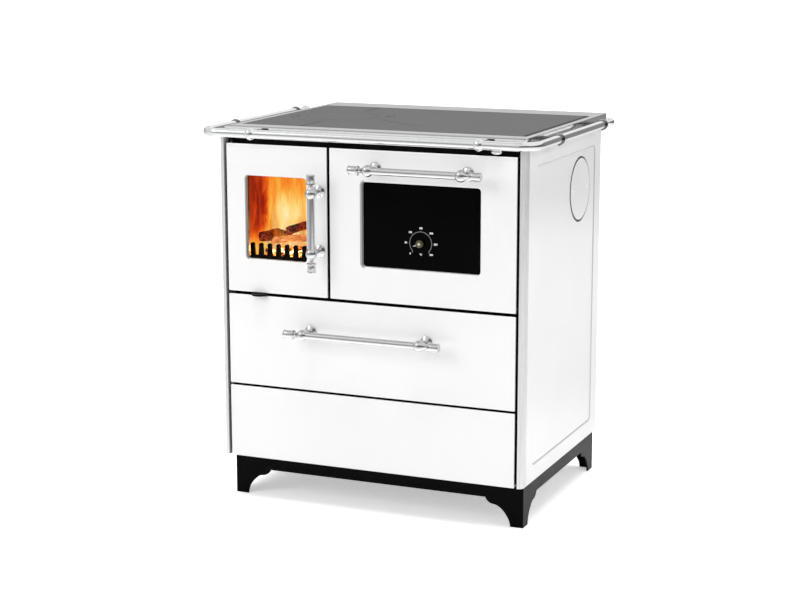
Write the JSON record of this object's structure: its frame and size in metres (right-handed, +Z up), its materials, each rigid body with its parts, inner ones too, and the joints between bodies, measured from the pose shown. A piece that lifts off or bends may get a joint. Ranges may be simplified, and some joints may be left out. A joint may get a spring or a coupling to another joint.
{
  "type": "wood cookstove",
  "caption": "Free-standing wood-burning cookstove with a windowed firebox door, drop-down oven door, wood drawer, flat iron hob with lift-out lid, and a chromed guard rail.",
  "frame": {"origin": "middle of the overall bounding box at floor level", "axes": "+X to the right seen from the front, +Y to the back, +Z up"},
  "size_m": [0.7999, 0.653, 0.852],
  "materials": {
    "enamel_white": "gloss vitreous enamel",
    "trim_grey": "satin",
    "black_plinth": "satin black paint",
    "carcass_black": "matt black stove paint",
    "zinc_sheet": "galvanised",
    "zinc_screws": "zinc plated",
    "frame_steel": "polished",
    "hob_iron": "ground flat, fine grain",
    "chrome_rail": "polished chrome plate",
    "chrome_handles": "polished chrome plate",
    "stove_plate": "heat-darkened plate",
    "damper_chrome": "polished chrome plate",
    "firebrick": "chamotte brick, sooted",
    "fire_iron": "sooty cast iron",
    "oven_enamel": "dark speckled enamel",
    "oven_wire": "plated wire",
    "fire_glass": "clear ceramic glass",
    "oven_glass": "black-backed glass",
    "rope_seal": "braided glass rope",
    "hinge_steel": "turned",
    "dial_pointer": "satin",
    "dial_knob": "dulled, turned"
  },
  "bodies": {
    "stove": {"plinth_front": "black_plinth", "plinth_back": "black_plinth", "plinth_left": "black_plinth", "plinth_right": "black_plinth", "plinth_corner_angles": "zinc_sheet", "base_plate": "zinc_sheet", "side_panel_left": "enamel_white", "side_panel_right": "enamel_white", "corner_trims": "trim_grey", "flue_cover": "enamel_white", "back_panel": "zinc_sheet", "back_panel_screws": "zinc_screws", "flue_collar": "carcass_black", "front_frame": "carcass_black", "top_frame": "frame_steel", "hob_plate_left": "hob_iron", "hob_plate_right": "hob_iron", "rail_tubes": "chrome_rail", "rail_bends": "chrome_rail", "rail_brackets": "chrome_rail", "firebox_shell": "stove_plate", "firebricks": "firebrick", "grate_frame": "fire_iron", "grate_bars": "fire_iron", "log_fence": "fire_iron", "ash_pan": "zinc_sheet", "oven_liner": "oven_enamel", "oven_rack": "oven_wire", "baking_tray": "oven_enamel", "flue_box": "stove_plate", "lower_panel": "enamel_white", "door_hinge_brackets": "carcass_black", "door_catches": "carcass_black", "drawer_runners": "zinc_sheet"},
    "firebox_door": {"firebox_door_panel": "enamel_white", "firebox_door_glass": "fire_glass", "firebox_door_liner": "carcass_black", "firebox_door_gasket": "rope_seal", "firebox_hinge_pins": "hinge_steel", "firebox_handle_bar": "chrome_handles", "firebox_handle_mounts": "chrome_handles"},
    "oven_door": {"oven_door_panel": "enamel_white", "oven_door_glass": "oven_glass", "oven_door_liner": "carcass_black", "oven_door_gasket": "rope_seal", "oven_hinge_pins": "hinge_steel", "oven_handle_bar": "chrome_handles", "oven_handle_mounts": "chrome_handles", "thermometer_body": "hinge_steel"},
    "thermometer_pointer": {"thermometer_needle": "dial_pointer", "thermometer_knob": "dial_knob"},
    "drawer": {"drawer_front": "enamel_white", "drawer_box": "zinc_sheet", "drawer_handle_bar": "chrome_handles", "drawer_handle_mounts": "chrome_handles"},
    "air_control": {"air_shutter": "stove_plate", "air_lever_tab": "carcass_black"},
    "smoke_damper": {"damper_plate": "stove_plate", "damper_rod": "damper_chrome"},
    "lid": {"hob_lid": "hob_iron"}
  },
  "joints": [
    {"name": "firebox_door_hinge", "type": "hinge", "parent": "stove", "child": "firebox_door", "pos_m": [-0.33165, -0.2625, 0.648], "axis": [0, 0, -1], "range_deg": [0, 110]},
    {"name": "oven_door_hinge", "type": "hinge", "parent": "stove", "child": "oven_door", "pos_m": [0.12537, -0.2625, 0.491], "axis": [1, 0, 0], "range_deg": [0, 90]},
    {"name": "thermometer_turn", "type": "hinge", "parent": "oven_door", "child": "thermometer_pointer", "pos_m": [0.1202, -0.2635, 0.6165], "axis": [0, 1, 0], "range_deg": [-22.5, 247.5]},
    {"name": "drawer_slide", "type": "slide", "parent": "stove", "child": "drawer", "axis": [0, -1, 0], "range_m": [0, 0.38]},
    {"name": "air_control_slide", "type": "slide", "parent": "stove", "child": "air_control", "axis": [1, 0, 0], "range_m": [0, 0.03]},
    {"name": "smoke_damper_pull", "type": "slide", "parent": "stove", "child": "smoke_damper", "axis": [0, -1, 0], "range_m": [0, 0.06]},
    {"name": "lid_lift", "type": "slide", "parent": "stove", "child": "lid", "axis": [0, 0, 1], "range_m": [0, 0.12]}
  ]
}
